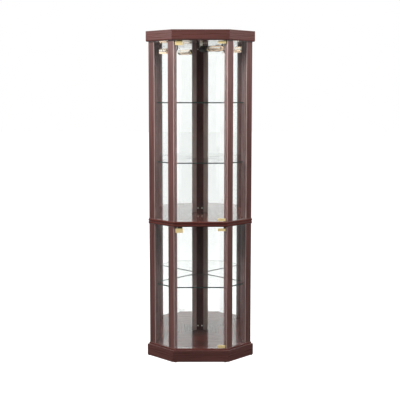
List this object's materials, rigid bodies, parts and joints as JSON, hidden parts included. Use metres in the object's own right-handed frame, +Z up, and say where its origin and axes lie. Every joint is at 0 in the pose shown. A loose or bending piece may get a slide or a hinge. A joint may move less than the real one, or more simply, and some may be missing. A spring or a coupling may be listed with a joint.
{
  "type": "corner curio cabinet",
  "caption": "Tall corner display cabinet in two stacked units: pentagon plan, dark wood frame, glass doors and sides, mirrored walls, glass shelves and a lamp under the cornice.",
  "frame": {"origin": "bottom centre of the cabinet's bounding box, on the floor", "axes": "+Z up, +X to the right seen from the front, the front faces -Y"},
  "size_m": [0.603, 0.4474, 1.829],
  "materials": {
    "mahogany_laminate": "satin wood-grain laminate",
    "backing_board": "matt hardboard",
    "clear_glass": "clear, polished edges",
    "silvered_mirror": "silvered glass",
    "polished_brass": "polished",
    "lamp_brass": "bright",
    "black_plastic": "fine satin",
    "brown_plastic": "matt",
    "zinc_steel": "zinc plated",
    "nickel_steel": "nickel plated",
    "warm_bulb_glass": "clear",
    "lead_jacket": "satin jacket",
    "black_rubber": "matt"
  },
  "bodies": {
    "cabinet": {"bulb_glass": "warm_bulb_glass", "bulb_screw_shell": "lamp_brass", "cornice_back_boards": "mahogany_laminate", "cornice_front_board": "mahogany_laminate", "cornice_left_board": "mahogany_laminate", "cornice_right_board": "mahogany_laminate", "glides": "black_plastic", "hinge_bushes": "brown_plastic", "lamp_bracket": "zinc_steel", "lamp_lead": "lead_jacket", "lamp_socket": "black_plastic", "latch_bodies": "black_plastic", "lead_grommets": "black_rubber", "lower_back_posts": "mahogany_laminate", "lower_backing_boards": "backing_board", "lower_corner_post": "mahogany_laminate", "lower_floor_board": "mahogany_laminate", "lower_front_left_post": "mahogany_laminate", "lower_front_right_post": "mahogany_laminate", "lower_left_mirror": "silvered_mirror", "lower_left_pane": "clear_glass", "lower_right_mirror": "silvered_mirror", "lower_right_pane": "clear_glass", "lower_shelf": "clear_glass", "lower_side_left_post": "mahogany_laminate", "lower_side_right_post": "mahogany_laminate", "lower_top_board": "mahogany_laminate", "middle_shelf": "clear_glass", "plinth_back_boards": "mahogany_laminate", "plinth_front_board": "mahogany_laminate", "plinth_left_board": "mahogany_laminate", "plinth_right_board": "mahogany_laminate", "shelf_pegs": "nickel_steel", "top_panel": "backing_board", "top_shelf": "clear_glass", "unit_bolts": "zinc_steel", "upper_back_posts": "mahogany_laminate", "upper_backing_boards": "backing_board", "upper_corner_post": "mahogany_laminate", "upper_floor_board": "mahogany_laminate", "upper_front_left_post": "mahogany_laminate", "upper_front_right_post": "mahogany_laminate", "upper_left_mirror": "silvered_mirror", "upper_left_pane": "clear_glass", "upper_right_mirror": "silvered_mirror", "upper_right_pane": "clear_glass", "upper_side_left_post": "mahogany_laminate", "upper_side_right_post": "mahogany_laminate", "upper_top_board": "mahogany_laminate"},
    "upper_door": {"upper_door_glass": "clear_glass", "upper_door_hinge_clamps": "polished_brass", "upper_door_strike_clip": "polished_brass"},
    "lower_door": {"lower_door_glass": "clear_glass", "lower_door_hinge_clamps": "polished_brass", "lower_door_strike_clip": "polished_brass"},
    "upper_latch_pin": {"upper_latch_plunger": "black_plastic"},
    "lower_latch_pin": {"lower_latch_plunger": "black_plastic"}
  },
  "joints": [
    {"name": "upper_door_swing", "type": "hinge", "parent": "cabinet", "child": "upper_door", "pos_m": [0.13176, -0.20525, 1.2805], "axis": [0, 0, 1], "range_deg": [0, 110]},
    {"name": "lower_door_swing", "type": "hinge", "parent": "cabinet", "child": "lower_door", "pos_m": [0.13176, -0.20525, 0.414], "axis": [0, 0, 1], "range_deg": [0, 110]},
    {"name": "upper_latch_travel", "type": "slide", "parent": "cabinet", "child": "upper_latch_pin", "axis": [0, 1, 0], "range_m": [0, 0.004], "stiffness_N_per_m": 400, "springref_m": -0.003},
    {"name": "lower_latch_travel", "type": "slide", "parent": "cabinet", "child": "lower_latch_pin", "axis": [0, 1, 0], "range_m": [0, 0.004], "stiffness_N_per_m": 400, "springref_m": -0.003}
  ]
}
